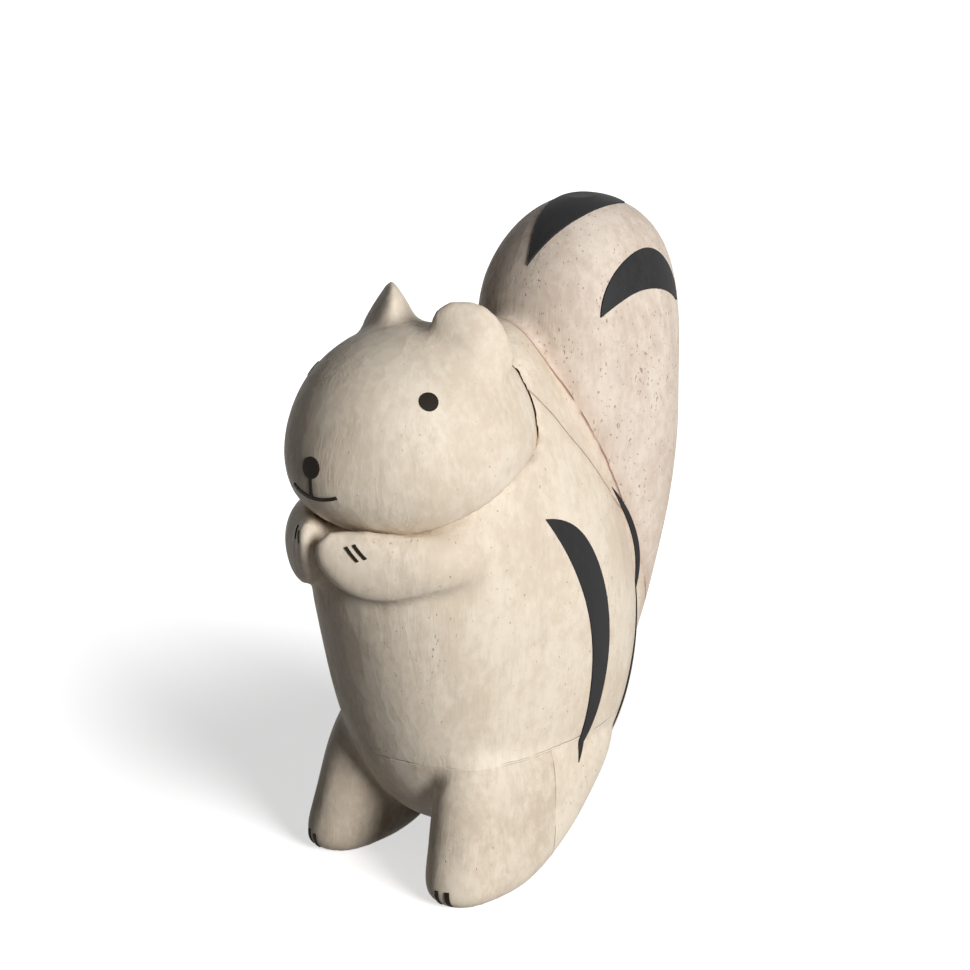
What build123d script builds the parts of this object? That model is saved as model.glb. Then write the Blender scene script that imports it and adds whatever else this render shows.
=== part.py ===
from build123d import *
import os
from functools import partial
from math import cos, pi, radians, sin

# Squirrel figurine, sitting up with its paws at its chin. It is glued up from blocks of
# pale wood on flat joints with dowels, carved as one form and then painted with dark marks.
# Millimetres. +Z is up, the face looks along -Y, and the squirrel's left side is +X.

# Body
BODY_HEIGHT = 82.4
BODY_WIDTH = 41.0
BELLY_REACH = 30.0
BACK_REACH = 26.3
RUMP_CLEARANCE = 5.6

# Head
HEAD_WIDTH = 36.2
HEAD_LENGTH = 41.6
HEAD_RISE = 19.6
HEAD_DROP = 12.4
HEAD_PITCH = 2.0

# Tail
TAIL_HEIGHT = 86.0
TAIL_WIDTH = 31.4
TAIL_DEPTH = 32.6
TAIL_SETBACK = 21.0
TAIL_ROOT_HEIGHT = 18.0

# Hind legs
LEG_HEIGHT = 31.0
LEG_WIDTH = 15.4
LEG_STANCE = 25.6
TOE_REACH = 25.0
HEEL_REACH = 18.0

# Rump pad, the third bearing behind the two soles
PAD_WIDTH = 19.0
PAD_DEPTH = 15.0
PAD_HEIGHT = 12.0
PAD_SETBACK = 4.5

# Forearms and ears
FOREARM_THICKNESS = 10.6
EAR_HEIGHT = 12.4
EAR_WIDTH = 12.0
EAR_LENGTH = 14.0
EAR_TURN = 42.0

# Glue joints
NECK_TILT = 23.0
NECK_DROP = 4.4
TAIL_JOINT_LEAN = 24.7
HIP_HEIGHT = 22.0
CROTCH_WIDTH = 11.6
HEEL_JOINT_FORWARD = 4.5
EAR_SEAT_TILT = 28.0

# Dowels, with their play in the bores
DOWEL_DIAMETER = 6.0
DOWEL_LENGTH = 18.0
EAR_PEG_DIAMETER = 3.0
EAR_PEG_LENGTH = 5.0
DOWEL_PLAY = 0.1
DOWEL_END_PLAY = 0.5
TAIL_DOWEL_SPACING = 18.0

# One reach for every cutting tool, longer than the figure in any direction
CUTTER_REACH = 2 * (BODY_HEIGHT + TAIL_HEIGHT)

# Which way each side lies along X
SIDES = {"left": 1, "right": -1}

# Outlines are drawn through this many points
OUTLINE_POINTS = 12

# Rows of the torso from rump to nape: height, half width, front reach and back reach,
# as shares of the body's height, half width, belly reach and back reach, then fullness.
TORSO_SHARES = (
    (0.00, 0.16, 0.20, 0.20, 2.0),
    (0.012, 0.36, 0.38, 0.40, 2.1),
    (0.05, 0.62, 0.57, 0.68, 2.2),
    (0.15, 0.86, 0.76, 0.93, 2.2),
    (0.30, 0.97, 0.91, 1.05, 2.2),
    (0.44, 1.00, 1.00, 1.03, 2.2),
    (0.59, 0.97, 1.05, 0.90, 2.2),
    (0.71, 0.88, 0.96, 0.72, 2.2),
    (0.83, 0.73, 0.80, 0.50, 2.1),
    (0.93, 0.52, 0.52, 0.32, 2.0),
    (0.985, 0.28, 0.24, 0.21, 2.0),
    (1.00, 0.12, 0.07, 0.10, 2.0),
)

# Rows of the head from the nape joint to the nose: place along the head, half width, rise
# and drop, as shares of the head's half length, half width, rise and drop, then fullness.
HEAD_SHARES = (
    (-0.84, 0.55, 0.56, 0.56, 2.1),
    (-0.62, 0.80, 0.80, 0.80, 2.15),
    (-0.33, 0.95, 0.95, 0.95, 2.2),
    (0.00, 1.00, 1.00, 1.00, 2.2),
    (0.30, 0.95, 0.95, 0.95, 2.15),
    (0.58, 0.80, 0.83, 0.80, 2.1),
    (0.80, 0.57, 0.61, 0.58, 2.05),
    (0.94, 0.31, 0.33, 0.32, 2.0),
    (1.00, 0.09, 0.08, 0.09, 2.0),
)
HEAD_FORWARD_SHARE = 0.55
HEAD_HEIGHT_SHARE = 0.79

# Rows of the tail from root to crown: height, half width, and front and back reach,
# as shares of the tail's height, half width and half depth, then fullness.
TAIL_SHARES = (
    (0.00, 0.20, 0.10, 0.10, 2.0),
    (0.035, 0.46, 0.25, 0.25, 2.0),
    (0.16, 0.73, 0.46, 0.58, 2.1),
    (0.35, 0.89, 0.68, 0.88, 2.2),
    (0.51, 0.98, 0.86, 1.03, 2.2),
    (0.67, 1.00, 0.98, 1.05, 2.2),
    (0.80, 0.95, 0.96, 1.05, 2.2),
    (0.89, 0.81, 0.83, 0.97, 2.15),
    (0.957, 0.55, 0.56, 0.74, 2.05),
    (0.988, 0.30, 0.30, 0.43, 2.0),
    (1.00, 0.11, 0.08, 0.19, 2.0),
)

# Rows of a hind leg from sole to hip: height, half width, toe reach and heel reach,
# as shares of the leg's height, half width, toe reach and heel reach, then fullness.
LEG_SHARES = (
    (0.00, 0.60, 0.94, -0.36, 2.3),
    (0.04, 0.75, 1.00, -0.22, 2.3),
    (0.19, 0.90, 1.00, 0.20, 2.3),
    (0.39, 0.96, 0.94, 0.60, 2.3),
    (0.65, 0.94, 0.85, 0.88, 2.2),
    (0.87, 0.64, 0.72, 0.66, 2.1),
    (1.00, 0.30, 0.55, 0.36, 2.0),
)
LEG_TUCK_SHARES = (1.09, 1.08, 1.05, 1.00, 0.94, 0.84, 0.76)

# Rows of the rump pad from the floor up: height and half size, as shares of its own,
# then fullness.
PAD_SHARES = (
    (0.00, 0.80, 2.2),
    (0.10, 0.90, 2.2),
    (0.50, 1.00, 2.2),
    (1.00, 1.10, 2.2),
)

# Stations of a forearm from shoulder to paw: across, forward and up as shares of the
# body's half width, belly reach and height, then half thickness and half height
# as shares of the forearm's half thickness.
# The right paw hangs a little lower, under the left one.
FOREARM_SHARES = {
    "left": (
        (0.66, 0.12, 0.640, 0.45, 0.75),
        (0.68, 0.67, 0.630, 0.79, 1.10),
        (0.46, 0.97, 0.630, 0.76, 1.06),
        (0.25, 1.13, 0.645, 0.55, 0.95),
        (0.16, 1.20, 0.668, 0.36, 0.66),
        (0.12, 1.24, 0.690, 0.12, 0.22),
    ),
    "right": (
        (0.66, 0.12, 0.640, 0.45, 0.75),
        (0.68, 0.67, 0.625, 0.79, 1.15),
        (0.46, 0.97, 0.618, 0.76, 1.24),
        (0.25, 1.10, 0.638, 0.56, 1.08),
        (0.14, 1.18, 0.664, 0.38, 0.75),
        (0.09, 1.24, 0.690, 0.12, 0.22),
    ),
}

# Rows of an ear from base to tip: place up the ear, half length, half width and the
# slide towards its front end as shares of its half length, then fullness.
EAR_SHARES = (
    (0.00, 1.00, 1.00, 0.00, 1.8),
    (0.35, 0.96, 0.80, 0.04, 1.8),
    (0.70, 0.82, 0.46, 0.08, 1.8),
    (0.90, 0.60, 0.20, 0.12, 1.8),
    (1.00, 0.32, 0.07, 0.13, 1.8),
)
EAR_BASE_SHARE = (0.49, -0.21, 0.61)
EAR_SEAT_SHARE = (0.47, -0.21, 0.83)
EAR_LEAN_SHARE = -0.10

# Painted marks
PAINT_THICKNESS = 0.2
EYE_DIAMETER = 2.9
NOSE_WIDTH = 3.5
NOSE_HEIGHT = 3.3
MOUTH_STROKE = 0.55
SMILE_WIDTH = 9.2
SMILE_RISE = 0.9
MOUTH_DROP = 2.6
PAW_CLAW_WIDTH = 0.24
FOOT_CLAW_WIDTH = 0.6

# Places of the marks, as shares of what carries them. Head: across, forward and up.
EYE_SHARES = {"left": (0.69, 0.40, 0.63), "right": (0.69, 0.355, 0.575)}
NOSE_HEIGHT_SHARE = 0.11

# Edges of the stripes between their two tips. Flank and back: backwards and up, as
# shares of the body's back reach and height.
FLANK_STRIPE_SHARES = {
    "tips": ((-0.23, 0.675), (0.055, 0.15)),
    "rear": ((0.01, 0.642), (0.215, 0.54), (0.295, 0.41), (0.20, 0.23)),
    "front": ((-0.145, 0.63), (0.02, 0.52), (0.115, 0.41), (0.11, 0.235)),
}
BACK_STRIPE_SHARES = {
    "tips": ((0.565, 0.66), (0.50, 0.165)),
    "rear": ((0.735, 0.58), (0.85, 0.46), (0.80, 0.36), (0.67, 0.25)),
    "front": ((0.70, 0.58), (0.818, 0.46), (0.765, 0.36), (0.638, 0.25)),
}
# Tail side: backwards and up, as shares of its half depth and height.
TAIL_STRIPE_SHARES = {
    "tips": ((-0.51, 0.817), (0.61, 0.808)),
    "rear": ((-0.38, 0.87), (-0.07, 0.909), (0.33, 0.914), (0.56, 0.872)),
    "front": ((-0.26, 0.841), (0.04, 0.852), (0.33, 0.841)),
}
# Tail crown, seen from above: across and backwards, as shares of its half width and depth.
CROWN_STRIPE_SHARES = {
    "tips": ((0.095, -0.80), (0.23, 0.46)),
    "rear": ((0.24, -0.49), (0.305, -0.15), (0.295, 0.18)),
    "front": ((-0.025, -0.58), (-0.14, -0.28), (-0.17, 0.02), (-0.06, 0.31)),
}
# Claw strokes, seen from the front: across and up at both ends, as shares of the body's
# half width and height for the paws, and of the leg's half stance and height for the feet.
# The brush reaches the paws this far forward, as shares of the belly reach.
PAW_CLAW_SHARES = {
    "left": (((0.292, 0.679), (0.385, 0.654)), ((0.333, 0.683), (0.429, 0.659))),
    "right": (((-0.262, 0.684), (-0.215, 0.664)), ((-0.140, 0.688), (-0.098, 0.668))),
}
PAW_FRONT_SHARES = {"left": 1.08, "right": 1.17}
FOOT_CLAW_SHARES = (((1.10, 0.02), (1.10, 0.105)), ((1.24, 0.02), (1.24, 0.11)))

# Places of the glue joints and dowels on the pieces that carry them
TAIL_JOINT_BACK_SHARE = 0.54
TAIL_JOINT_HEIGHT_SHARE = 0.70
HIP_DOWEL_SHARE = 0.32


def signed_power(value, power):
    """A power that keeps the sign of its base."""
    return abs(value) ** power * (1 if value >= 0 else -1)


def outline(plane, half_width, reach_up, reach_down, fullness):
    """Smooth closed outline in a plane, with its own reach on each side of the x axis."""
    points = []
    for step in range(OUTLINE_POINTS):
        angle = 2 * pi * step / OUTLINE_POINTS
        reach = reach_up if sin(angle) > 0 else reach_down
        across = half_width * signed_power(cos(angle), 2 / fullness)
        along = reach * signed_power(sin(angle), 2 / fullness)
        points.append(plane.from_local_coords(Vector(across, along)))
    return Wire([Edge.make_spline(points, periodic=True)])


def level_outline(centre_x, half_width, front, back, height, fullness):
    """Outline on a level plane, reaching from y = front to y = back."""
    middle = (front + back) / 2
    half_depth = (back - front) / 2
    plane = Plane(origin=(centre_x, middle, height), x_dir=(1, 0, 0), z_dir=(0, 0, 1))
    return outline(plane, half_width, half_depth, half_depth, fullness)


def torso(grow=0.0):
    """The carved trunk from rump to nape."""
    sections = []
    for height, width, front, back, fullness in TORSO_SHARES:
        sections.append(level_outline(
            0,
            BODY_WIDTH / 2 * width + grow,
            -BELLY_REACH * front - grow,
            BACK_REACH * back + grow,
            RUMP_CLEARANCE - grow + (BODY_HEIGHT + 2 * grow) * height,
            fullness,
        ))
    return Solid.make_loft(sections)


HEAD_CENTRE = Vector(
    0,
    -BELLY_REACH * HEAD_FORWARD_SHARE,
    RUMP_CLEARANCE + BODY_HEIGHT * HEAD_HEIGHT_SHARE,
)
HEAD_AXIS = Vector(0, -cos(radians(HEAD_PITCH)), -sin(radians(HEAD_PITCH)))


def head(grow=0.0):
    """The carved head, lofted along its axis from the flat nape joint to the nose."""
    half_length = HEAD_LENGTH / 2
    sections = []
    for place, width, rise, drop, fullness in HEAD_SHARES:
        origin = HEAD_CENTRE + HEAD_AXIS * ((half_length + grow) * place)
        plane = Plane(origin=origin, x_dir=(1, 0, 0), z_dir=HEAD_AXIS)
        sections.append(outline(
            plane,
            HEAD_WIDTH / 2 * width + grow,
            HEAD_RISE * rise + grow,
            HEAD_DROP * drop + grow,
            fullness,
        ))
    return Solid.make_loft(sections)


def tail(grow=0.0):
    """The upright tail from its root at the lower back to its crown."""
    sections = []
    for height, width, front, back, fullness in TAIL_SHARES:
        sections.append(level_outline(
            0,
            TAIL_WIDTH / 2 * width + grow,
            TAIL_SETBACK - TAIL_DEPTH / 2 * front - grow,
            TAIL_SETBACK + TAIL_DEPTH / 2 * back + grow,
            TAIL_ROOT_HEIGHT - grow + (TAIL_HEIGHT + 2 * grow) * height,
            fullness,
        ))
    return Solid.make_loft(sections)


def hind_leg(side, grow=0.0):
    """One hind leg, a standing lump with a flat sole."""
    sections = []
    for (height, width, toe, heel, fullness), tuck in zip(LEG_SHARES, LEG_TUCK_SHARES):
        sections.append(level_outline(
            side * LEG_STANCE / 2 * tuck,
            LEG_WIDTH / 2 * width + grow,
            -TOE_REACH * toe - grow,
            HEEL_REACH * heel + grow,
            LEG_HEIGHT * height,
            fullness,
        ))
    return Solid.make_loft(sections)


def rump_pad():
    """The low pad under the rump, buried in the trunk at its top."""
    sections = []
    for height, size, fullness in PAD_SHARES:
        sections.append(level_outline(
            0,
            PAD_WIDTH / 2 * size,
            PAD_SETBACK - PAD_DEPTH / 2 * size,
            PAD_SETBACK + PAD_DEPTH / 2 * size,
            PAD_HEIGHT * height,
            fullness,
        ))
    return Solid.make_loft(sections)


def body_point(side, shares):
    """A point of the trunk from its shares of half width, belly reach and height."""
    across, forward, up = shares
    return Vector(
        side * BODY_WIDTH / 2 * across,
        -BELLY_REACH * forward,
        RUMP_CLEARANCE + BODY_HEIGHT * up,
    )


def forearm(name, grow=0.0):
    """One forearm, lofted along its bend from the shoulder to the paw at the chin."""
    rows = FOREARM_SHARES[name]
    path = [body_point(SIDES[name], row[:3]) for row in rows]
    last = len(path) - 1
    sections = []
    for index, row in enumerate(rows):
        along = (path[min(index + 1, last)] - path[max(index - 1, 0)]).normalized()
        across = along.cross(Vector(0, 0, 1)).normalized()
        plane = Plane(origin=path[index], x_dir=across, z_dir=along)
        half_thickness = FOREARM_THICKNESS / 2 * row[3] + grow
        half_height = FOREARM_THICKNESS / 2 * row[4] + grow
        sections.append(outline(plane, half_thickness, half_height, half_height, 2))
    return Solid.make_loft(sections)


def head_point(side, shares):
    """A point of the head from its shares of half width, half length and rise."""
    across, along, up = shares
    return HEAD_CENTRE + Vector(
        side * HEAD_WIDTH / 2 * across,
        -HEAD_LENGTH / 2 * along,
        HEAD_RISE * up,
    )


def ear(side):
    """One ear, a blade that stands on the crown, turned outwards and leaning inwards."""
    base = head_point(side, EAR_BASE_SHARE)
    turn = radians(EAR_TURN)
    backwards = Vector(side * cos(turn), sin(turn), 0)
    lean = Vector(side * EAR_WIDTH / 2 * EAR_LEAN_SHARE, 0, EAR_HEIGHT)
    sections = []
    for place, length, width, slide, fullness in EAR_SHARES:
        centre = base + lean * place - backwards * (EAR_LENGTH / 2 * slide)
        plane = Plane(origin=centre, x_dir=backwards, z_dir=(0, 0, 1))
        half_width = EAR_WIDTH / 2 * width
        sections.append(outline(plane, EAR_LENGTH / 2 * length, half_width, half_width, fullness))
    return Solid.make_loft(sections)


def beyond(origin, normal):
    """Everything on the far side of a plane, as a cutting block."""
    plane = Plane(origin=origin, z_dir=normal)
    block = Box(
        CUTTER_REACH, CUTTER_REACH, CUTTER_REACH,
        align=(Align.CENTER, Align.CENTER, Align.MIN),
    )
    return plane * block


def dowel(origin, direction, play=0.0, end_play=0.0):
    """A dowel laid half in each block, or with play its bore."""
    plane = Plane(origin=origin, z_dir=direction)
    return plane * Cylinder(DOWEL_DIAMETER / 2 + play, DOWEL_LENGTH + 2 * end_play)


NECK_POINT = HEAD_CENTRE - Vector(0, 0, NECK_DROP)
NECK_NORMAL = Vector(0, -sin(radians(NECK_TILT)), cos(radians(NECK_TILT)))
TAIL_JOINT_POINT = Vector(
    0,
    BACK_REACH * TAIL_JOINT_BACK_SHARE,
    RUMP_CLEARANCE + BODY_HEIGHT * TAIL_JOINT_HEIGHT_SHARE,
)
TAIL_NORMAL = Vector(0, cos(radians(TAIL_JOINT_LEAN)), sin(radians(TAIL_JOINT_LEAN)))
TAIL_JOINT_DOWN = Vector(0, sin(radians(TAIL_JOINT_LEAN)), -cos(radians(TAIL_JOINT_LEAN)))


def leg_region(side):
    """The corner of the carved form that a leg block fills."""
    return Pos(side * CROTCH_WIDTH / 2, -HEEL_JOINT_FORWARD, HIP_HEIGHT) * Box(
        CUTTER_REACH, CUTTER_REACH, CUTTER_REACH,
        align=(Align.MIN if side > 0 else Align.MAX, Align.MAX, Align.MAX),
    )


def hip_point(side):
    return Vector(side * LEG_STANCE / 2, -TOE_REACH * HIP_DOWEL_SHARE, HIP_HEIGHT)


def ear_block(play=0.0):
    """The left ear cut flat to its seat, with a peg turned under it."""
    seat = head_point(1, EAR_SEAT_SHARE)
    tilt = radians(EAR_SEAT_TILT)
    normal = Vector(sin(tilt), 0, cos(tilt))
    peg = Plane(origin=seat, z_dir=-normal) * Cylinder(
        EAR_PEG_DIAMETER / 2 + play, EAR_PEG_LENGTH + play,
        align=(Align.CENTER, Align.CENTER, Align.MIN),
    )
    return (ear(1) & beyond(seat, normal)) + peg


def on_body(backwards, up):
    return (BACK_REACH * backwards, RUMP_CLEARANCE + BODY_HEIGHT * up)


def on_tail_side(backwards, up):
    return (TAIL_SETBACK + TAIL_DEPTH / 2 * backwards, TAIL_ROOT_HEIGHT + TAIL_HEIGHT * up)


def on_tail_top(across, backwards):
    return (TAIL_WIDTH / 2 * across, TAIL_SETBACK + TAIL_DEPTH / 2 * backwards)


def stripe(shares, place, plane):
    """A prism with the outline of a pointed stripe, drawn in a plane between two tips."""
    start, end = [place(*point) for point in shares["tips"]]
    edges = [
        Spline([start, *[place(*point) for point in shares[edge]], end])
        for edge in ("rear", "front")
    ]
    return extrude(plane * make_face(edges), CUTTER_REACH)


def forwards(drawing, start):
    """A prism that runs from y = -start to the front, on a drawing seen from there."""
    plane = Plane(origin=(0, -start, 0), x_dir=(1, 0, 0), z_dir=(0, -1, 0))
    return extrude(plane * drawing, CUTTER_REACH)


def strokes(ends, width, across_unit, foot, up_unit, start):
    """Prisms for short strokes seen from the front, each between its two ends."""
    prisms = []
    for ends_of_one in ends:
        line = Line(*[(across_unit * across, foot + up_unit * up) for across, up in ends_of_one])
        prisms.append(forwards(trace(line, line_width=width), start))
    return prisms


def eye_prism(name):
    """A round prism from the middle of the head out through one eye."""
    pupil = head_point(SIDES[name], EYE_SHARES[name])
    plane = Plane(origin=HEAD_CENTRE, z_dir=pupil - HEAD_CENTRE)
    return plane * Cylinder(
        EYE_DIAMETER / 2, CUTTER_REACH, align=(Align.CENTER, Align.CENTER, Align.MIN),
    )


def face_prism():
    """Nose, the line under it and the smile."""
    nose_height = HEAD_CENTRE.Z + HEAD_RISE * NOSE_HEIGHT_SHARE
    mouth_height = HEAD_CENTRE.Z - MOUTH_DROP
    corner_height = mouth_height + SMILE_RISE
    half_smile = SMILE_WIDTH / 2
    nose = Pos(0, nose_height) * Ellipse(NOSE_WIDTH / 2, NOSE_HEIGHT / 2)
    line = trace(Line((0, nose_height), (0, mouth_height)), line_width=MOUTH_STROKE)
    arc = ThreePointArc((-half_smile, corner_height), (0, mouth_height), (half_smile, corner_height))
    return forwards(nose + line + trace(arc, line_width=MOUTH_STROKE), -HEAD_CENTRE.Y)


def paint(forms, prisms):
    """The coat on some carved forms inside prisms."""
    coats = []
    for prism in prisms:
        skins = [form(PAINT_THICKNESS) & prism for form in forms]
        coat = skins[0].fuse(*skins[1:]) if len(skins) > 1 else skins[0]
        coats.extend((coat - [form() for form in forms]).solids())
    return coats


def on_side(shape, side):
    """A shape made for the left, or its mirror image for the right."""
    return shape if side > 0 else mirror(shape, about=Plane.YZ)


pieces = {}

# Blocks, each cut flat where it meets its neighbours
carved = torso().fuse(
    tail(), rump_pad(), hind_leg(1), hind_leg(-1), forearm("left"), forearm("right"),
)
rear = beyond(TAIL_JOINT_POINT, TAIL_NORMAL)
head_form = (head() & beyond(NECK_POINT, NECK_NORMAL)) - rear
front = carved - [rear, head_form]
pieces["tail_block"] = carved & rear
pieces["body_block"] = front - [leg_region(1), leg_region(-1)]
pieces["head_block"] = head_form
for name, side in SIDES.items():
    pieces[f"{name}_hind_leg"] = front & leg_region(side)
boxes = [block.bounding_box() for block in pieces.values()]
for name, side in SIDES.items():
    pieces[f"{name}_ear"] = on_side(ear_block(), side)

# Dowels, and what is taken out of each block for them and for the ear pegs
socket = ear_block(DOWEL_PLAY)
cuts = {"head_block": [on_side(socket, side) for side in SIDES.values()], "body_block": []}
half_spacing = TAIL_JOINT_DOWN * (TAIL_DOWEL_SPACING / 2)
upright = Vector(0, 0, 1)
dowels = {
    "neck_dowel": (NECK_POINT, NECK_NORMAL, "head_block"),
    "upper_tail_dowel": (TAIL_JOINT_POINT - half_spacing, TAIL_NORMAL, "tail_block"),
    "lower_tail_dowel": (TAIL_JOINT_POINT + half_spacing, TAIL_NORMAL, "tail_block"),
    "left_leg_dowel": (hip_point(1), upright, "left_hind_leg"),
    "right_leg_dowel": (hip_point(-1), upright, "right_hind_leg"),
}
for name, (origin, direction, block) in dowels.items():
    pieces[name] = dowel(origin, direction)
    bore = dowel(origin, direction, DOWEL_PLAY, DOWEL_END_PLAY)
    cuts.setdefault(block, []).append(bore)
    cuts["body_block"].append(bore)
for block, tools in cuts.items():
    pieces[block] = pieces[block] - tools

# Painted marks, the same on both sides but for the paws and the eyes
face = face_prism()
crown = stripe(CROWN_STRIPE_SHARES, on_tail_top, Plane.XY.offset(TAIL_ROOT_HEIGHT + TAIL_HEIGHT / 2))
marks = {"nose_and_mouth": paint([head], [face]), "tail_crown_stripe": paint([tail], [crown])}
flank = stripe(FLANK_STRIPE_SHARES, on_body, Plane.YZ)
back = stripe(BACK_STRIPE_SHARES, on_body, Plane.YZ)
arch = stripe(TAIL_STRIPE_SHARES, on_tail_side, Plane.YZ)
toes = strokes(FOOT_CLAW_SHARES, FOOT_CLAW_WIDTH, LEG_STANCE / 2, 0, LEG_HEIGHT, TOE_REACH / 2)
for name, side in SIDES.items():
    leg = partial(hind_leg, side)
    claws = strokes(
        PAW_CLAW_SHARES[name], PAW_CLAW_WIDTH, BODY_WIDTH / 2, RUMP_CLEARANCE, BODY_HEIGHT,
        BELLY_REACH * PAW_FRONT_SHARES[name],
    )
    marks[f"{name}_eye"] = paint([head], [eye_prism(name)])
    marks[f"{name}_foot_claws"] = paint([leg], [on_side(toe, side) for toe in toes])
    marks[f"{name}_paw_claws"] = paint([partial(forearm, name)], claws)
    marks[f"{name}_flank_stripe"] = paint([torso, leg], [on_side(flank, side)])
    marks[f"{name}_back_stripe"] = paint([torso, tail], [on_side(back, side)])
    marks[f"{name}_tail_stripe"] = paint([tail], [on_side(arch, side)])
for name, coats in marks.items():
    pieces[name] = Compound(children=coats) if len(coats) > 1 else coats[0]

# The origin sits on the ground under the middle of the blocks
front_end = min(box.min.Y for box in boxes)
back_end = max(box.max.Y for box in boxes)
to_origin = Pos(0, -(front_end + back_end) / 2, -min(box.min.Z for box in boxes))

os.makedirs("parts", exist_ok=True)
for name, piece in pieces.items():
    print(name, len(piece.solids()), round(piece.volume, 2), piece.is_valid)
    export_step(to_origin * piece, f"parts/{name}.step")
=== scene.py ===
# %% [markdown]
# # A carved wooden squirrel
# This lesson dresses a small figurine: a squirrel glued up from blocks of pale wood, carved as one
# form, whitewashed, rubbed back and painted with a few dark marks. The blocks, dowels and marks
# come from the frame, already in place and in metres. What is left to do here is what a carver's
# knife and a painter's rag would do: soften the creases, leave tool marks, and finish the wood.

# %% Load the frame
import math

import bmesh
import bpy
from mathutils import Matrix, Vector
from mathutils.bvhtree import BVHTree


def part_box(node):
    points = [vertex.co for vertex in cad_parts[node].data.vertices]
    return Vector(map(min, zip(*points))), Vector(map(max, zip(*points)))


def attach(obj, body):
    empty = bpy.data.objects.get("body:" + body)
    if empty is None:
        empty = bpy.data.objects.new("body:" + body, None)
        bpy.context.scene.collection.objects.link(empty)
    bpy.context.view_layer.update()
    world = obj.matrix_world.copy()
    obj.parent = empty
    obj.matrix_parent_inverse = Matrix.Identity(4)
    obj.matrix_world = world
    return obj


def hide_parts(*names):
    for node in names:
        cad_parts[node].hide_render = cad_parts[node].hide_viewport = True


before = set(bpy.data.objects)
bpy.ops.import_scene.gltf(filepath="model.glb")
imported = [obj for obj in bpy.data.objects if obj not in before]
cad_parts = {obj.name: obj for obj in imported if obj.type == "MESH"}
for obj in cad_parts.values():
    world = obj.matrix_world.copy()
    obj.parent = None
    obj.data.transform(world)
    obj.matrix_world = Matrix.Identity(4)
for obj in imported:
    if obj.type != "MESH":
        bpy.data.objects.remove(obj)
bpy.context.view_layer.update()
MM = 0.001

# %% [markdown]
# ## Where the glue joints are
# The blocks meet on flat planes. A plane needs a point and a normal, and both can be read from the
# frame: a hind leg's box gives the three planes of its corner, and the two tail dowels stand
# square to the tail's joint, one below the other, so the line between their middles lies in it.

# %% Joint planes from the frame
def box_middle(node):
    low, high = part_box(node)
    return (low + high) / 2


leg_low, leg_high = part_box("left_hind_leg")
upper, lower = box_middle("upper_tail_dowel"), box_middle("lower_tail_dowel")
tail_joint = (upper + lower) / 2
tail_down = (lower - upper).normalized()
tail_normal = Vector((0, -tail_down.z, tail_down.y))
hip_height = leg_high.z
print("tail joint leans", round(math.degrees(math.atan2(tail_normal.z, tail_normal.y)), 1), "degrees")
print("hip joints at", round(hip_height / MM, 1), "mm")

# %% [markdown]
# ## From blocks back to one carved form
# The real maker glued the blocks first and carved afterwards, so the surface runs on across every
# joint. The same order works here. Copies of the blocks are joined and remeshed with voxels, which
# melts touching solids into one skin. Keeping only the largest shell drops the closed dowel bores.

# %% Join and remesh
def merged_copy(name, nodes):
    """A bmesh of some CAD nodes, their loose triangles merged, as a new object."""
    built = bmesh.new()
    for node in nodes:
        built.from_mesh(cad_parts[node].data)
    bmesh.ops.remove_doubles(built, verts=built.verts, dist=0.001 * MM)
    return to_object(name, built)


def to_object(name, built):
    """Turn a bmesh into an object at the origin and free it."""
    mesh = bpy.data.meshes.new(name)
    built.to_mesh(mesh)
    built.free()
    piece = bpy.data.objects.new(name, mesh)
    bpy.context.scene.collection.objects.link(piece)
    return piece


def with_modifiers(piece):
    """Swap a piece's mesh for the result of its modifiers."""
    depsgraph = bpy.context.evaluated_depsgraph_get()
    depsgraph.update()
    old = piece.data
    piece.data = bpy.data.meshes.new_from_object(piece.evaluated_get(depsgraph))
    piece.modifiers.clear()
    bpy.data.meshes.remove(old)
    return piece


def remeshed(piece, voxel):
    """One skin of even quads over everything that touches."""
    remesh = piece.modifiers.new("skin", "REMESH")
    remesh.mode = "VOXEL"
    remesh.voxel_size = voxel
    return with_modifiers(piece)


def largest_shell(piece):
    """Delete all but the largest connected shell."""
    built = bmesh.new()
    built.from_mesh(piece.data)
    left = set(built.verts)
    shells = []
    while left:
        shell, edge_of_search = set(), [left.pop()]
        while edge_of_search:
            vert = edge_of_search.pop()
            shell.add(vert)
            for edge in vert.link_edges:
                other = edge.other_vert(vert)
                if other in left:
                    left.remove(other)
                    edge_of_search.append(other)
        shells.append(shell)
    shells.sort(key=len)
    strays = [vert for shell in shells[:-1] for vert in shell]
    bmesh.ops.delete(built, geom=strays, context="VERTS")
    built.to_mesh(piece.data)
    built.free()
    return len(shells)


VOXEL = 0.5 * MM
trunk_form = remeshed(
    merged_copy("trunk_form", ["body_block", "tail_block", "left_hind_leg", "right_hind_leg"]), VOXEL,
)
head_form = remeshed(merged_copy("head_form", ["head_block", "left_ear", "right_ear"]), VOXEL)
for form in (trunk_form, head_form):
    shells = largest_shell(form)
    print(form.name, "faces", len(form.data.polygons), "shells before", shells)

# %% [markdown]
# ## Softening the creases
# A knife and sandpaper leave no razor-sharp inner corner, so wherever two forms meet in a valley,
# such as a forearm on the chest or a leg on the belly, the valley is filled a little.
# Smoothing everything would shrink the model, so only points near a valley move. A valley is found
# by comparing each point with its neighbours' average: if the average lies outside the surface,
# the point sits in a hollow. The mask is spread to the neighbours and then steers the smoothing.
# Wood under the painted marks stays as it is, or a filled valley would swallow their thin coats.

# %% Fill the valleys
def near_paint():
    """A BVH tree of all painted marks, to leave the wood under them as it is."""
    built = bmesh.new()
    for name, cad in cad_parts.items():
        if name.endswith(("eye", "mouth", "claws", "stripe")):
            built.from_mesh(cad.data)
    tree = BVHTree.FromBMesh(built)
    built.free()
    return tree


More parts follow.
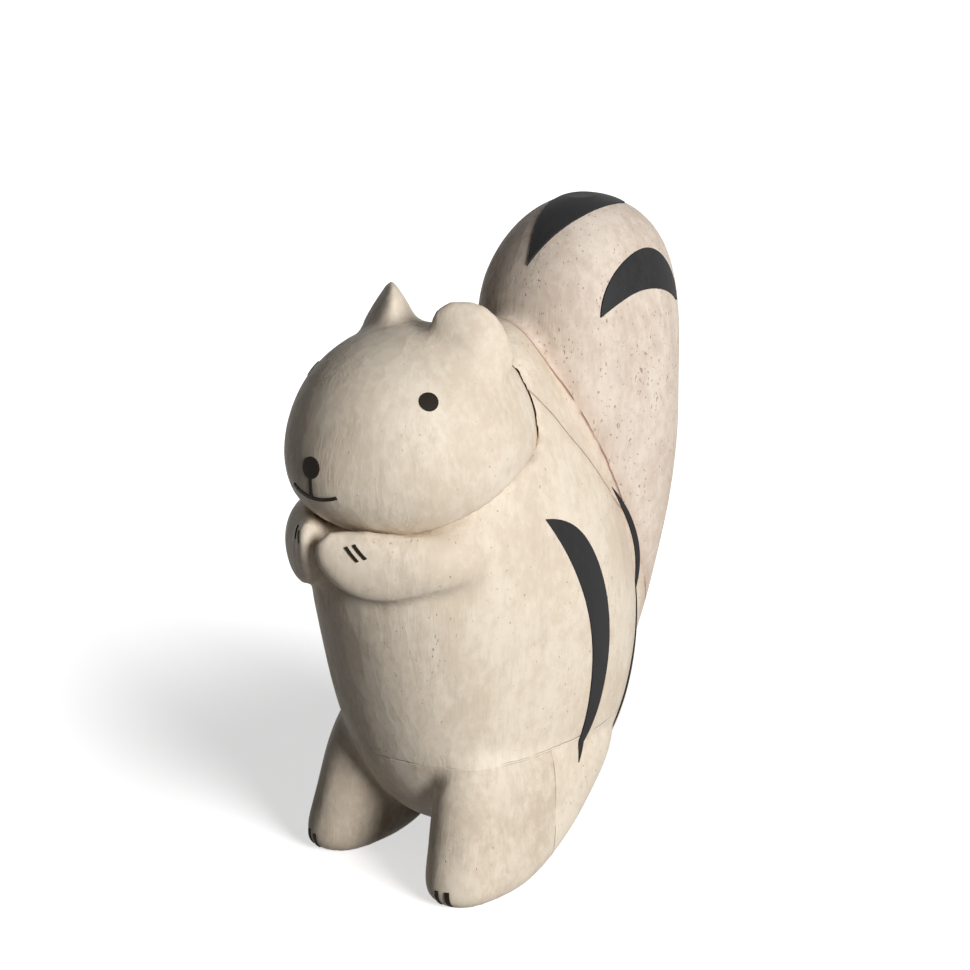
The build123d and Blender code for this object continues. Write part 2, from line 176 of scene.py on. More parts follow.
paint_tree = near_paint()
PAINT_MARGIN = 0.7 * MM
SMOOTH_FACTOR = 0.5
SHARP_BEND = 0.03 * MM


def bend(vert):
    """How far the average of a point's neighbours lies outside the surface."""
    average = sum((edge.other_vert(vert).co for edge in vert.link_edges), Vector())
    return (average / len(vert.link_edges) - vert.co).dot(vert.normal)


def smooth(built, verts, rounds):
    """Move points half way to their neighbours' average, round after round."""
    for _ in range(rounds):
        bmesh.ops.smooth_vert(
            built, verts=verts, factor=SMOOTH_FACTOR,
            use_axis_x=True, use_axis_y=True, use_axis_z=True,
        )


def soften(piece, is_rough, spread, rounds):
    """Smooth the points that a test picks, and those around them."""
    built = bmesh.new()
    built.from_mesh(piece.data)
    built.normal_update()
    marked = {vert for vert in built.verts if is_rough(vert)}
    for _ in range(spread):
        marked |= {edge.other_vert(vert) for vert in marked for edge in vert.link_edges}
    bare = [vert for vert in marked if paint_tree.find_nearest(vert.co, PAINT_MARGIN)[0] is None]
    smooth(built, bare, rounds)
    built.to_mesh(piece.data)
    built.free()
    return len(bare)


def is_crease(vert):
    return bend(vert) > SHARP_BEND


print("trunk points softened:", soften(trunk_form, is_crease, spread=6, rounds=28))
print("head points softened:", soften(head_form, is_crease, spread=7, rounds=40))

# %% [markdown]
# The ears' rims come out of the frame with a flat top and an edge. On the wooden figure they are
# rounded over, so the points on the rims' outer bends are smoothed in the same way.

# %% Round the ears' rims
RIM_ABOVE_PEG = 7 * MM
ear_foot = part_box("left_ear")[0].z + RIM_ABOVE_PEG


def is_ear_rim(vert):
    return vert.co.z > ear_foot and bend(vert) < -SHARP_BEND


print("rim points rounded:", soften(head_form, is_ear_rim, spread=2, rounds=12))

# %% [markdown]
# ## The groove round the head
# Where the head meets the shoulders a thin dark line runs round it: the glue joint, cleaned out
# with a knife point. A BVH tree finds the nearest point of one mesh quickly, so every point of the
# trunk that is very near the head can be sunk a little, the nearest ones most. The sunk points are
# then smoothed, so that the groove's edge runs clean.

# %% Cut the groove
def groove(piece, neighbour, reach, depth, rounds):
    """Sink the points of a piece that lie near a neighbour, then smooth them."""
    skin = BVHTree.FromObject(neighbour, bpy.context.evaluated_depsgraph_get())
    built = bmesh.new()
    built.from_mesh(piece.data)
    built.normal_update()
    sunk = []
    for vert in built.verts:
        away = skin.find_nearest(vert.co, reach)[3]
        if away is not None:
            vert.co -= vert.normal * depth * (1 - away / reach)
            sunk.append(vert)
    smooth(built, sunk, rounds)
    built.to_mesh(piece.data)
    built.free()
    return len(sunk)


in_groove = groove(trunk_form, head_form, reach=1.2 * MM, depth=0.35 * MM, rounds=8)
print("points in the groove:", in_groove)

# %% [markdown]
# ## Knife marks
# A whittled surface is a patchwork of long shallow cuts. Two clouds textures displace the form by
# less than a tenth of a millimetre: one broad, for the unevenness of hand carving, and one fine.
# The displacement is small enough that the painted marks still lie on the wood.

# %% Carve the surface
def carve(piece, size, strength, stretch):
    """Push the surface in and out by a soft noise, stretched along the grain."""
    texture = bpy.data.textures.new(f"{piece.name}_{size:.4f}", "CLOUDS")
    texture.noise_scale = 1.0
    texture.noise_depth = 1
    guide = bpy.data.objects.new(f"{piece.name}_guide", None)
    bpy.context.scene.collection.objects.link(guide)
    guide.scale = (size, size, size * stretch)
    bpy.context.view_layer.update()
    cut = piece.modifiers.new("cut", "DISPLACE")
    cut.texture = texture
    cut.texture_coords = "OBJECT"
    cut.texture_coords_object = guide
    cut.mid_level = 0.5
    cut.strength = strength
    with_modifiers(piece)
    bpy.data.objects.remove(guide)


for form in (trunk_form, head_form):
    carve(form, size=9 * MM, strength=0.16 * MM, stretch=1.8)
    carve(form, size=2.2 * MM, strength=0.05 * MM, stretch=4.0)
    print(form.name, "carved")

# %% [markdown]
# ## Sawing the form back into its blocks
# Each block becomes its own piece again. An exact Boolean with a box cuts the form flat on a joint
# plane and closes the cut. The box only has to be larger than the figure on its far sides.

# %% Cutting boxes
REACH = 0.2


def cutting_box(name, origin, x_axis, y_axis, z_axis, low, high):
    """A box between two corners, given along three axes from an origin."""
    built = bmesh.new()
    bmesh.ops.create_cube(built, size=1.0)
    for vert in built.verts:
        share = vert.co + Vector((0.5, 0.5, 0.5))
        corner = [low[i] + (high[i] - low[i]) * share[i] for i in range(3)]
        vert.co = origin + x_axis * corner[0] + y_axis * corner[1] + z_axis * corner[2]
    bmesh.ops.recalc_face_normals(built, faces=built.faces)
    return to_object(name, built)


def cut(name, form, cutters, operation):
    """A new piece: the form's share inside one cutter, or what all of them leave."""
    piece = bpy.data.objects.new(name, form.data.copy())
    bpy.context.scene.collection.objects.link(piece)
    for cutter in cutters:
        boolean = piece.modifiers.new("saw", "BOOLEAN")
        boolean.operation = operation
        boolean.solver = "EXACT"
        boolean.object = cutter
    return with_modifiers(piece)


X, Y, Z = Vector((1, 0, 0)), Vector((0, 1, 0)), Vector((0, 0, 1))
rear_box = cutting_box(
    "rear_box", tail_joint, X, -tail_down, tail_normal, (-REACH, -REACH, 0), (REACH, REACH, REACH),
)
leg_boxes = {
    "left": cutting_box(
        "left_leg_box", Vector(), X, Y, Z,
        (leg_low.x, -REACH, -REACH), (REACH, leg_high.y, hip_height),
    ),
    "right": cutting_box(
        "right_leg_box", Vector(), X, Y, Z,
        (-REACH, -REACH, -REACH), (-leg_low.x, leg_high.y, hip_height),
    ),
}

# %% [markdown]
# The ears are cut off on their seats. A seat leans outwards, and the peg under it reaches a known
# length further down, so the lowest point of the ear along the seat's normal gives its height.

# %% Ear seats
EAR_SEAT_TILT = math.radians(28)
EAR_PEG_LENGTH = 5 * MM
ear_boxes = {}
for name, side in (("left", 1), ("right", -1)):
    normal = Vector((side * math.sin(EAR_SEAT_TILT), 0, math.cos(EAR_SEAT_TILT)))
    heights = [vert.co.dot(normal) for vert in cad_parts[f"{name}_ear"].data.vertices]
    seat = normal * (min(heights) + EAR_PEG_LENGTH)
    ear_boxes[name] = cutting_box(
        f"{name}_ear_box", seat, Y.cross(normal), Y, normal, (-REACH, -REACH, 0), (REACH, REACH, REACH),
    )
    print(name, "ear seat at", round((min(heights) + EAR_PEG_LENGTH) / MM, 2), "mm along its normal")

# %% Saw
pieces = {
    "tail": cut("tail", trunk_form, [rear_box], "INTERSECT"),
    "trunk": cut("trunk", trunk_form, [rear_box, *leg_boxes.values()], "DIFFERENCE"),
    "head": cut("head", head_form, list(ear_boxes.values()), "DIFFERENCE"),
}
for name, box in leg_boxes.items():
    pieces[f"{name}_leg"] = cut(f"{name}_leg", trunk_form, [box], "INTERSECT")
for name, box in ear_boxes.items():
    pieces[f"{name}_ear_wood"] = cut(f"{name}_ear_wood", head_form, [box], "INTERSECT")
for name, piece in pieces.items():
    print(name, "faces", len(piece.data.polygons))
for helper in (trunk_form, head_form, rear_box, *leg_boxes.values(), *ear_boxes.values()):
    bpy.data.objects.remove(helper)

# %% [markdown]
# Smooth shading must stop at the sawn edges, or the light would bend round them. Edges where two
# faces meet at more than the given angle are marked sharp.

# %% Shade smooth, sharp at the saw cuts
SHARP_ANGLE = math.radians(40)
for piece in pieces.values():
    built = bmesh.new()
    built.from_mesh(piece.data)
    for face in built.faces:
        face.smooth = True
    for edge in built.edges:
        edge.smooth = edge.is_manifold and edge.calc_face_angle(0) < SHARP_ANGLE
    built.to_mesh(piece.data)
    built.free()

# %% [markdown]
# ## The wood's grain as a node group
# Grain is needed by every wooden material, each with its own strength, so it is a node group with
# named sockets. It reads Object coordinates, squeezed along Z so that the noise turns into
# vertical streaks, and gives three masks: streaks, blotches of uneven whitewash, and open pores.

# %% Helpers for node trees
def node(tree, kind, **settings):
    """Add a node and set its properties and its sockets' values, both by name."""
    made = tree.nodes.new(kind)
    for key, value in settings.items():
        if hasattr(made, key):
            setattr(made, key, value)
        else:
            made.inputs[key.replace("_", " ")].default_value = value
    return made


def group_with(name, inputs, outputs):
    """A shader node group with float or vector sockets, and its two ends."""
    tree = bpy.data.node_groups.new(name, "ShaderNodeTree")
    for label, kind, value in inputs:
        socket = tree.interface.new_socket(label, in_out="INPUT", socket_type=kind)
        if value is not None:
            socket.default_value = value
    for label, kind in outputs:
        tree.interface.new_socket(label, in_out="OUTPUT", socket_type=kind)
    return tree, tree.nodes.new("NodeGroupInput"), tree.nodes.new("NodeGroupOutput")


FLOAT, VECTOR = "NodeSocketFloat", "NodeSocketVector"


def ramp(tree, low, high, factor):
    """A mask that rises from 0 at low to 1 at high."""
    made = tree.nodes.new("ShaderNodeMapRange")
    made.interpolation_type = "SMOOTHSTEP"
    made.inputs["From Min"].default_value = low
    made.inputs["From Max"].default_value = high
    tree.links.new(factor, made.inputs["Value"])
    return made.outputs["Result"]


def maths(tree, operation, *values):
    """One Math node over sockets and plain numbers."""
    made = tree.nodes.new("ShaderNodeMath")
    made.operation = operation
    for slot, value in zip(made.inputs, values):
        if isinstance(value, (int, float)):
            slot.default_value = value
        else:
            tree.links.new(value, slot)
    return made.outputs[0]


def average(tree, first, second):
    """The middle of two values."""
    return maths(tree, "MULTIPLY", maths(tree, "ADD", first, second), 0.5)


def mixed(tree, factor, first, second):
    """One Mix node over two colours."""
    made = tree.nodes.new("ShaderNodeMix")
    made.data_type = "RGBA"
    ends = {"Factor": factor, 6: first, 7: second}
    for label, value in ends.items():
        slot = made.inputs[label]
        if isinstance(value, (int, float, tuple)):
            slot.default_value = value
        else:
            tree.links.new(value, slot)
    return made.outputs[2]


# %% [markdown]
# Each noise has a scale, in features per metre across the grain, and a stretch along it. A shift
# moves a noise to another place, so that no two of them line up.

# %% Grain group
FINE_FIBRES = {"scale": 1300, "stretch": 8, "distortion": 0.8}
BROAD_FIBRES = {"scale": 380, "stretch": 4, "distortion": 0.8, "shift": 3}
BARE_PATCHES = {"scale": 110, "stretch": 1.4, "detail": 2, "shift": 5}
WASH_CLOUDS = {"scale": 95, "stretch": 1.6, "detail": 4, "shift": 7}
WASH_MOTTLE = {"scale": 620, "stretch": 1.4, "detail": 5, "roughness": 0.7, "shift": 13}
PORE_SPECKS = {"scale": 2300, "stretch": 1.8, "detail": 1, "shift": 11}
PORE_CROWDS = {"scale": 70, "stretch": 1.5, "detail": 2, "shift": 19}
STREAK_RANGE, PATCH_RANGE, BLOTCH_RANGE = (0.42, 0.62), (0.40, 0.62), (0.40, 0.62)
FAINTEST_STREAK = 0.2
PORE_RARITY, PORE_CROWDING, PORE_EDGE = 0.82, 0.34, 0.08
SCOOP_SCALE, SCOOP_STRETCH, SCOOP_BEND, SCOOP_CURVE = 430, 4.5, 1.5, 2.0
SCOOP_WAVER = {"scale": 160, "stretch": 1, "detail": 1, "shift": 41}
SCOOP_HEIGHT, STREAK_HEIGHT, PORE_DEPTH = 0.4, 0.15, 0.5


def stretched(tree, place, scale, stretch, shift=0.0):
    """Coordinates with that many units per metre, fewer along Z."""
    mapping = node(
        tree, "ShaderNodeMapping", Scale=(scale, scale, scale / stretch), Location=(shift, shift, shift),
    )
    tree.links.new(place, mapping.inputs["Vector"])
    return mapping.outputs["Vector"]


def noise(tree, place, scale, stretch, detail=3.0, roughness=0.55, distortion=0.0, shift=0.0):
    """A soft noise that is longer along Z."""
    made = node(
        tree, "ShaderNodeTexNoise",
        Scale=1.0, Detail=detail, Roughness=roughness, Distortion=distortion,
    )
    tree.links.new(stretched(tree, place, scale, stretch, shift), made.inputs["Vector"])
    return made.outputs["Fac"]


def scoops(tree, place):
    """Shallow hollows with ridges between them, as knife cuts leave, longer along Z."""
    waver = maths(tree, "MULTIPLY", noise(tree, place, **SCOOP_WAVER), SCOOP_BEND)
    bent = node(tree, "ShaderNodeVectorMath", operation="ADD")
    tree.links.new(stretched(tree, place, SCOOP_SCALE, SCOOP_STRETCH), bent.inputs[0])
    tree.links.new(waver, bent.inputs[1])
    made = node(tree, "ShaderNodeTexVoronoi", feature="F1", Scale=1.0)
    tree.links.new(bent.outputs["Vector"], made.inputs["Vector"])
    return maths(tree, "POWER", made.outputs["Distance"], SCOOP_CURVE)


def make_grain():
    """The node group that the wood and the paint share."""
    tree, given, made = group_with(
        "wood_grain",
        [("Vector", VECTOR, None), ("Pore Amount", FLOAT, 0.5)],
        [("Streaks", FLOAT), ("Blotches", FLOAT), ("Pores", FLOAT), ("Height", FLOAT)],
    )
    place = given.outputs["Vector"]
    fibres = average(tree, noise(tree, place, **FINE_FIBRES), noise(tree, place, **BROAD_FIBRES))
    patches = ramp(tree, *PATCH_RANGE, noise(tree, place, **BARE_PATCHES))
    added = maths(tree, "MULTIPLY", patches, 1 - FAINTEST_STREAK)
    streaks = maths(
        tree, "MULTIPLY", ramp(tree, *STREAK_RANGE, fibres), maths(tree, "ADD", FAINTEST_STREAK, added),
    )
    washed = average(tree, noise(tree, place, **WASH_CLOUDS), noise(tree, place, **WASH_MOTTLE))
    blotches = ramp(tree, *BLOTCH_RANGE, washed)
    specks = noise(tree, place, **PORE_SPECKS)
    crowd = maths(tree, "MULTIPLY", noise(tree, place, **PORE_CROWDS), given.outputs["Pore Amount"])
    threshold = maths(tree, "SUBTRACT", PORE_RARITY, maths(tree, "MULTIPLY", crowd, PORE_CROWDING))
    pores = ramp(tree, 0.0, PORE_EDGE, maths(tree, "SUBTRACT", specks, threshold))
    ridges = maths(tree, "MULTIPLY", scoops(tree, place), SCOOP_HEIGHT)
    cuts = maths(tree, "ADD", ridges, maths(tree, "MULTIPLY", streaks, STREAK_HEIGHT))
    height = maths(tree, "SUBTRACT", cuts, maths(tree, "MULTIPLY", pores, PORE_DEPTH))
    masks = {"Streaks": streaks, "Blotches": blotches, "Pores": pores, "Height": height}
    for label, value in masks.items():
        tree.links.new(value, made.inputs[label])
    return tree


grain_group = make_grain()
sockets = grain_group.interface.items_tree
print("grain group outputs:", [item.name for item in sockets if item.in_out == "OUTPUT"])

# %% [markdown]
# ## Glue lines as a node group
# Under the whitewash the joints still show as hairlines, and a fainter one crosses the upper back.
# A plane in space has a simple formula: the dot product of a point with the plane's normal, less
# the plane's distance. Where that is nearly zero the surface crosses the joint. A little noise
# makes the line waver, and breaks it up.

# %% Glue line group
LINE_WAVER = {"scale": 260, "stretch": 1, "detail": 2, "shift": 23}
LINE_BREAKS = {"scale": 150, "stretch": 1, "detail": 2, "shift": 31}
WAVER_HEIGHT = 0.6 * MM
LINE_CORE, GAP_SHARE, GAP_EDGE, STAIN_WIDTHS = 0.2, 0.8, 0.12, 14.0


def make_glue_line():
    """The node group that draws a hairline, and a stain beside it, where a plane cuts a surface."""
    tree, given, made = group_with(
        "glue_line",
        [("Vector", VECTOR, None), ("Normal", VECTOR, (0, 0, 1)), ("Distance", FLOAT, 0.0),
         ("Width", FLOAT, 0.2 * MM), ("Gaps", FLOAT, 0.5)],
        [("Line", FLOAT), ("Stain", FLOAT)],
    )
    place, width = given.outputs["Vector"], given.outputs["Width"]
    dot = node(tree, "ShaderNodeVectorMath", operation="DOT_PRODUCT")
    tree.links.new(place, dot.inputs[0])
    tree.links.new(given.outputs["Normal"], dot.inputs[1])
    straight = maths(tree, "SUBTRACT", dot.outputs["Value"], given.outputs["Distance"])
    waver = maths(tree, "SUBTRACT", noise(tree, place, **LINE_WAVER), 0.5)
    wavering = maths(tree, "ADD", straight, maths(tree, "MULTIPLY", waver, WAVER_HEIGHT))
    away = maths(tree, "ABSOLUTE", wavering)
    line = maths(tree, "SUBTRACT", 1.0, ramp(tree, LINE_CORE, 1.0, maths(tree, "DIVIDE", away, width)))
    bare = maths(tree, "MULTIPLY", given.outputs["Gaps"], GAP_SHARE)
    breaks = maths(tree, "SUBTRACT", noise(tree, place, **LINE_BREAKS), bare)
    broken = maths(tree, "MULTIPLY", line, ramp(tree, 0.0, GAP_EDGE, breaks))
    spread = maths(tree, "DIVIDE", away, maths(tree, "MULTIPLY", width, STAIN_WIDTHS))
    stain = maths(tree, "SUBTRACT", 1.0, ramp(tree, 0.0, 1.0, spread))
    tree.links.new(broken, made.inputs["Line"])
    tree.links.new(stain, made.inputs["Stain"])
    return tree


glue_group = make_glue_line()
print("glue group nodes:", len(glue_group.nodes))

# %% [markdown]
# ## Whitewashed wood
# The finish is a thin pale wash rubbed into light wood: cream where it is thick, a touch warmer
# where the rag took it off, with brown pores the wash didn't fill. The tail's block is a pinker
# plank with more pores, and its wash is also a little darker, as painted shade. The legs' wash is
# darker all over, as painted shade on the low parts that take less light. One function makes the
# material, and each block passes its own values.

# %% Whitewash material
PORE_BROWN, STAIN_BROWN = (0.30, 0.20, 0.13), (0.50, 0.34, 0.25)
BLOTCH_TINT, STREAK_TINT, PORE_TINT, LINE_TINT = 0.9, 0.30, 0.65, 0.85
STREAK_SHADE, LINE_DEPTH = 0.82, 1.5
WASH_ROUGHNESS, STREAK_ROUGHNESS, WASH_SPECULAR = 0.52, 0.14, 0.2


def grained(name, **grain_inputs):
    """A new material, its node tree, its coordinates and the grain's outputs."""
    material = bpy.data.materials.new(name)
    material.use_nodes = True
    tree = material.node_tree
    place = node(tree, "ShaderNodeTexCoord").outputs["Object"]
    grain = node(tree, "ShaderNodeGroup", node_tree=grain_group, **grain_inputs)
    tree.links.new(place, grain.inputs["Vector"])
    return material, tree, place, grain.outputs


def feed_shader(tree, colour, roughness, specular, height, bump_strength, bump_depth):
    """Give a material's shader its colour, its sheen and its bumps."""
    shader = tree.nodes["Principled BSDF"]
    shader.inputs["Specular IOR Level"].default_value = specular
    bump = node(tree, "ShaderNodeBump", Strength=bump_strength, Distance=bump_depth)
    tree.links.new(height, bump.inputs["Height"])
    tree.links.new(colour, shader.inputs["Base Color"])
    tree.links.new(roughness, shader.inputs["Roughness"])
    tree.links.new(bump.outputs["Normal"], shader.inputs["Normal"])


def tinted(tree, colour, mask, amount, tint):
    """Lay a tint over a colour where a mask is bright."""
    return mixed(tree, maths(tree, "MULTIPLY", mask, amount), colour, (*tint, 1))


def glue_line(point, normal, width, gaps, tint, stain=0.0):
    """A joint's plane, as a normal and a distance from the origin, and how its line looks."""
    sockets = {"Normal": tuple(normal), "Distance": point.dot(normal), "Width": width, "Gaps": gaps}
    return sockets, tint, stain


def whitewashed(name, wash, rubbed, pores, glue_lines=()):
    """Pale wood: wash over rubbed wood, with pores, and hairlines on the given planes."""
    material, tree, place, grain = grained(name, Pore_Amount=pores)
    streak = [channel * STREAK_SHADE for channel in rubbed]
    colour = tinted(tree, (*wash, 1), grain["Blotches"], BLOTCH_TINT, rubbed)
    colour = tinted(tree, colour, grain["Streaks"], STREAK_TINT, streak)
    colour = tinted(tree, colour, grain["Pores"], PORE_TINT, PORE_BROWN)
    height = grain["Height"]
    for sockets, tint, stain in glue_lines:
        glue = node(tree, "ShaderNodeGroup", node_tree=glue_group, **sockets)
        tree.links.new(place, glue.inputs["Vector"])
        colour = tinted(tree, colour, glue.outputs["Stain"], stain, STAIN_BROWN)
        colour = tinted(tree, colour, glue.outputs["Line"], LINE_TINT, tint)
        height = maths(tree, "SUBTRACT", height, maths(tree, "MULTIPLY", glue.outputs["Line"], LINE_DEPTH))
    dull = maths(tree, "MULTIPLY", grain["Streaks"], STREAK_ROUGHNESS)
    roughness = maths(tree, "ADD", WASH_ROUGHNESS, dull)
    feed_shader(tree, colour, roughness, WASH_SPECULAR, height, bump_strength=0.7, bump_depth=0.25 * MM)
    return material


# %% [markdown]
# The line in the valley before the tail is reddish and stained. A fainter one crosses the upper
# back, where its plane leans further than the tail's joint does. The hips' line is pale and the
# heels' line is brown.

# %% Glue lines and finishes
HAIRLINE = 0.16 * MM
PALE_GLUE, BROWN_GLUE, RED_GLUE = (0.86, 0.78, 0.66), (0.24, 0.17, 0.11), (0.42, 0.22, 0.16)
CREST_EXTRA_LEAN, CREST_DROP = math.radians(15), 10 * MM
crest_lean = math.atan2(tail_normal.z, tail_normal.y) + CREST_EXTRA_LEAN
crest_normal = Vector((0, math.cos(crest_lean), math.sin(crest_lean)))
crest_foot = tail_joint + tail_down * CREST_DROP
tail_line = glue_line(
    tail_joint, tail_normal, width=HAIRLINE * 1.3, gaps=0.42, tint=RED_GLUE, stain=0.30,
)
crest_line = glue_line(
    crest_foot, crest_normal, width=HAIRLINE, gaps=0.40, tint=STAIN_BROWN, stain=0.16,
)
hip_line = glue_line(Z * hip_height, Z, width=HAIRLINE * 1.4, gaps=0.50, tint=PALE_GLUE)
heel_line = glue_line(Y * leg_high.y, Y, width=HAIRLINE, gaps=0.55, tint=BROWN_GLUE)

WASH, RUBBED = (0.82, 0.725, 0.595), (0.70, 0.590, 0.465)
# The tail's wash is pinker wood and also a little darker as painted shade; the legs' wash is darker all
# over as painted shade.
PINK_SHADED_WASH, PINK_SHADED_RUBBED = (0.79, 0.685, 0.585), (0.64, 0.525, 0.430)
LEG_SHADE_WASH, LEG_SHADE_RUBBED = (0.76, 0.665, 0.54), (0.60, 0.495, 0.385)
trunk_lines = [tail_line, crest_line, hip_line]
finishes = {
    "trunk": whitewashed("trunk_wash", WASH, RUBBED, pores=0.55, glue_lines=trunk_lines),
    "leg": whitewashed("leg_wash", LEG_SHADE_WASH, LEG_SHADE_RUBBED, pores=0.45, glue_lines=[hip_line, heel_line]),
    "head": whitewashed("head_wash", WASH, RUBBED, pores=0.40),
    "ear": whitewashed("ear_wash", WASH, RUBBED, pores=0.30),
    "tail": whitewashed("tail_wash", PINK_SHADED_WASH, PINK_SHADED_RUBBED, pores=0.85, glue_lines=[tail_line]),
}
print("finishes:", sorted(finishes))

# %% Put the wood on the frame
stands_for = {
    "tail": ("tail_block", "tail"), "trunk": ("body_block", "trunk"), "head": ("head_block", "head"),
    "left_leg": ("left_hind_leg", "leg"), "right_leg": ("right_hind_leg", "leg"),
    "left_ear_wood": ("left_ear", "ear"), "right_ear_wood": ("right_ear", "ear"),
}
for name, (block, finish) in stands_for.items():
    piece = pieces[name]
    piece.data.materials.clear()
    piece.data.materials.append(finishes[finish])
    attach(piece, "root")
    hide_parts(block)
    print(name, "stands for", block)

# %% [markdown]
# ## Dark paint
# The marks are brushed on in a thin matt black, a little browner on the face and the claws. Paint
# this thin follows the wood: its colour is a little uneven along the stroke, and it is about as
# matt as the wash.

# %% Paint material
PAINT_ROUGHNESS, UNEVEN_ROUGHNESS, PAINT_SPECULAR = 0.5, 0.16, 0.12


def dark_paint(name, deep, worn):
    """Thin paint, paler where the brush ran dry."""
    material, tree, _, grain = grained(name)
    uneven = average(tree, grain["Blotches"], grain["Streaks"])
    colour = mixed(tree, uneven, (*deep, 1), (*worn, 1))
    roughness = maths(tree, "ADD", PAINT_ROUGHNESS, maths(tree, "MULTIPLY", uneven, UNEVEN_ROUGHNESS))
    feed_shader(
        tree, colour, roughness, PAINT_SPECULAR, grain["Height"],
        bump_strength=0.3, bump_depth=0.05 * MM,
    )
    return material


paint = dark_paint("dark_paint", (0.022, 0.021, 0.022), (0.036, 0.035, 0.036))
face_paint = dark_paint("face_paint", (0.014, 0.010, 0.006), (0.026, 0.019, 0.012))
print("paints:", paint.name, "and", face_paint.name)

# %% [markdown]
# ## Dowels
# The dowels never show, but each is a real piece, turned from plain straight-grained wood.

# %% Dowel material and assignment
turned = whitewashed("dowel_wood", (0.62, 0.44, 0.27), (0.55, 0.37, 0.21), pores=0.3)
for name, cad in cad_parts.items():
    if name.endswith("dowel"):
        finish = turned
    elif name.endswith(("eye", "mouth", "claws")):
        finish = face_paint
    elif name.endswith("stripe"):
        finish = paint
    else:
        continue
    cad.data.materials.clear()
    cad.data.materials.append(finish)
    print(name, "takes", finish.name)

# %% [markdown]
# ## Floor and backdrop
# The figure stands on white that runs up into a white backdrop. The camera sees the floor at full
# white, because part of its brightness is emission for camera rays only. The object isn't lit by
# that emission, and the diffuse part still takes the figure's soft shadow. What the floor throws
# back at the figure is weaker than what the camera sees, or the shaded side would turn pale.

# %% Floor
FLOOR_SIZE = 3.0
FLOOR_SEEN, FLOOR_BOUNCE = 0.95, 0.28
FLOOR_GLOW, BACKDROP_GLOW = 0.63, 1.0
# The floor's glow rises from FLOOR_GLOW near the figure to full white between these distances: painted
# light that makes the shadow fade out close to the figure.
FADE_START, FADE_END = 0.055, 0.125


def sight(tree):
    """A mask of the rays that come from the camera, and one that adds mirrored rays."""
    path = node(tree, "ShaderNodeLightPath")
    camera_ray = path.outputs["Is Camera Ray"]
    return camera_ray, maths(tree, "MAXIMUM", camera_ray, path.outputs["Is Glossy Ray"])


def white_floor():
    """A floor that looks white to the camera and still takes a shadow."""
    material = bpy.data.materials.new("white_floor")
    material.use_nodes = True
    tree = material.node_tree
    tree.nodes.remove(tree.nodes["Principled BSDF"])
    made = tree.nodes["Material Output"]
    camera_ray, seen = sight(tree)
    diffuse = node(tree, "ShaderNodeBsdfDiffuse")
    extra = maths(tree, "MULTIPLY", camera_ray, FLOOR_SEEN - FLOOR_BOUNCE)
    tree.links.new(maths(tree, "ADD", FLOOR_BOUNCE, extra), diffuse.inputs["Color"])
    away = node(tree, "ShaderNodeVectorMath", operation="LENGTH")
    tree.links.new(node(tree, "ShaderNodeTexCoord").outputs["Object"], away.inputs[0])
    # Painted light: the glow is weaker near the figure and brighter further out, so the shadow fades away.
    fade = ramp(tree, FADE_START, FADE_END, away.outputs["Value"])
    strength = maths(tree, "ADD", FLOOR_GLOW, maths(tree, "MULTIPLY", fade, BACKDROP_GLOW - FLOOR_GLOW))
    glow = node(tree, "ShaderNodeEmission", Color=(1, 1, 1, 1))
    tree.links.new(maths(tree, "MULTIPLY", seen, strength), glow.inputs["Strength"])
    both = node(tree, "ShaderNodeAddShader")
    tree.links.new(diffuse.outputs[0], both.inputs[0])
    tree.links.new(glow.outputs[0], both.inputs[1])
    tree.links.new(both.outputs[0], made.inputs["Surface"])
    return material


built = bmesh.new()
bmesh.ops.create_grid(built, x_segments=1, y_segments=1, size=FLOOR_SIZE)
floor = to_object("floor", built)
floor.data.materials.append(white_floor())
print("floor size:", [round(side, 2) for side in floor.dimensions])

# %% [markdown]
# ## Light
# The photograph has one large soft light on the right, a little in front of the figure and not
# high, and a dim even fill. So the surfaces that face left fall into shade, and the shadow lies
# to the left.

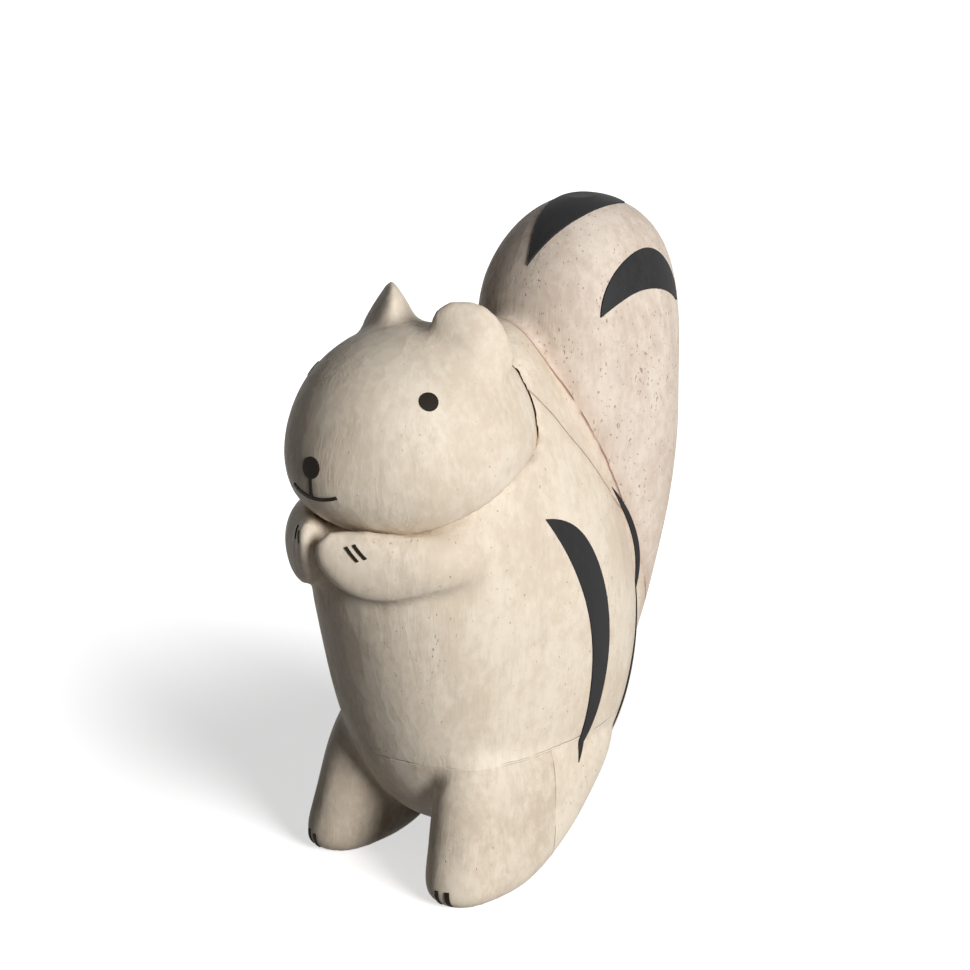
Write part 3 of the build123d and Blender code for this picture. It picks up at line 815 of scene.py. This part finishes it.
# %% World and lamps
FILL = 0.03
KEY_AZIMUTH, KEY_ELEVATION, KEY_DISTANCE = 84, 21, 2.0
KEY_SIZE, KEY_WATTS, KEY_TARGET = 0.9, 44.0, Vector((0, 0, 0.05))

world = bpy.data.worlds.new("studio")
bpy.context.scene.world = world
world.use_nodes = True
tree = world.node_tree
background = tree.nodes["Background"]
background.inputs["Color"].default_value = (1, 1, 1, 1)
white = maths(tree, "MULTIPLY", sight(tree)[1], 1 - FILL)
tree.links.new(maths(tree, "ADD", white, FILL), background.inputs["Strength"])


def aimed(name, data, target, azimuth, elevation, distance):
    """Put a lamp or a camera round a target, facing it. Azimuth 0 is before the face, 90 its left."""
    turn, rise = math.radians(azimuth), math.radians(elevation)
    away = Vector((math.sin(turn) * math.cos(rise), -math.cos(turn) * math.cos(rise), math.sin(rise)))
    holder = bpy.data.objects.new(name, data)
    bpy.context.scene.collection.objects.link(holder)
    holder.location = target + away * distance
    holder.rotation_euler = away.to_track_quat("Z", "Y").to_euler()
    return holder


lamp = bpy.data.lights.new("key", "AREA")
lamp.shape = "DISK"
lamp.size = KEY_SIZE
lamp.energy = KEY_WATTS
key = aimed("key", lamp, KEY_TARGET, KEY_AZIMUTH, KEY_ELEVATION, KEY_DISTANCE)
print("lamp at", [round(value, 2) for value in key.location])

# %% [markdown]
# ## Camera
# The camera stands at the photograph's angle, turned 44 degrees to the figure's left and looking
# down by 19.5 degrees, 45 cm away. The lens follows from the object's size in the picture.

# %% Camera
CAMERA_AZIMUTH, CAMERA_ELEVATION, CAMERA_DISTANCE = 44, 19.5, 0.45
CAMERA_TARGET = Vector((-0.0133, 0.0138, 0.0539))
PICTURE_SIZE, FOCAL_PIXELS, SENSOR = 970, 2700, 36.0
lens = bpy.data.cameras.new("camera")
lens.sensor_width = SENSOR
lens.lens = FOCAL_PIXELS / PICTURE_SIZE * SENSOR
camera = aimed("camera", lens, CAMERA_TARGET, CAMERA_AZIMUTH, CAMERA_ELEVATION, CAMERA_DISTANCE)
bpy.context.scene.camera = camera
bpy.context.scene.view_settings.view_transform = "Standard"
print("camera at", [round(value, 3) for value in camera.location])
